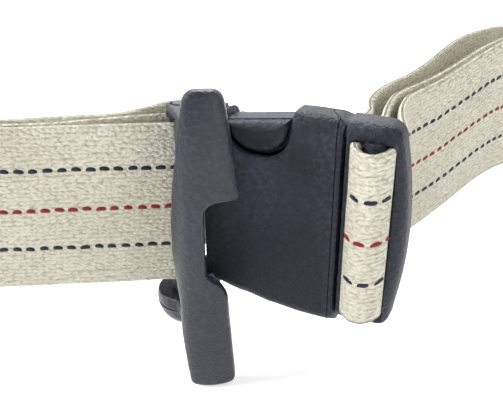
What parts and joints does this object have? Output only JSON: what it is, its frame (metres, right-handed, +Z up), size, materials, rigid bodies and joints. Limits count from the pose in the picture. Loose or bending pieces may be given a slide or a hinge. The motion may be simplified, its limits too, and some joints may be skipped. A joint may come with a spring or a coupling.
{
  "type": "gait belt",
  "caption": "Buckled cotton transfer belt with a plastic side-release buckle, sprung web-lock lever with finger wings, and a sewn fixed end.",
  "frame": {"origin": "bottom centre of the whole buckled belt", "axes": "+X along the buckle from the receiver half to the insert half, -Y out of the buckle's front face, +Z up across the strap"},
  "size_m": [0.3978, 0.3692, 0.0903],
  "materials": {
    "housing_plastic": "fine-textured blue-black moulded acetal",
    "lever_plastic": "satin blue-grey-black moulded acetal",
    "steel": "blackened ground steel",
    "cotton": "natural cotton webbing, herringbone weave, with one red and two navy dashed stripes",
    "thread": "off-white sewing thread"
  },
  "bodies": {
    "receiver": {"receiver_housing": "housing_plastic", "lock_bar": "steel", "return_spring": "steel", "webbing_tail": "cotton", "tail_hem": "cotton", "webbing_lock_wrap": "cotton", "webbing_left_loop": "cotton", "webbing_back_run": "cotton"},
    "lever": {"release_lever": "lever_plastic", "spring_cap": "lever_plastic", "grip_jaw": "steel"},
    "insert": {"insert_frame": "housing_plastic", "webbing_right_loop": "cotton", "webbing_bar_wrap": "cotton", "webbing_fold_back": "cotton", "stitch_row_1": "thread", "stitch_row_2": "thread"},
    "upper_prong": {"upper_prong": "housing_plastic"}
  },
  "joints": [
    {"name": "lever_swing", "type": "hinge", "parent": "receiver", "child": "lever", "pos_m": [0.08463, -0.0813, 0.0485], "axis": [0, 0, 1], "range_deg": [0, 22], "stiffness_Nm_per_rad": 0.02, "springref_deg": -5.73},
    {"name": "buckle_slide", "type": "slide", "parent": "receiver", "child": "insert", "axis": [1, 0, 0], "range_m": [0, 0.042], "deforming": ["upper_prong"]},
    {"name": "upper_squeeze", "type": "hinge", "parent": "insert", "child": "upper_prong", "pos_m": [0.13183, -0.0718, 0.07185], "axis": [0, -1, 0], "range_deg": [0, 2], "stiffness_Nm_per_rad": 0.5}
  ]
}
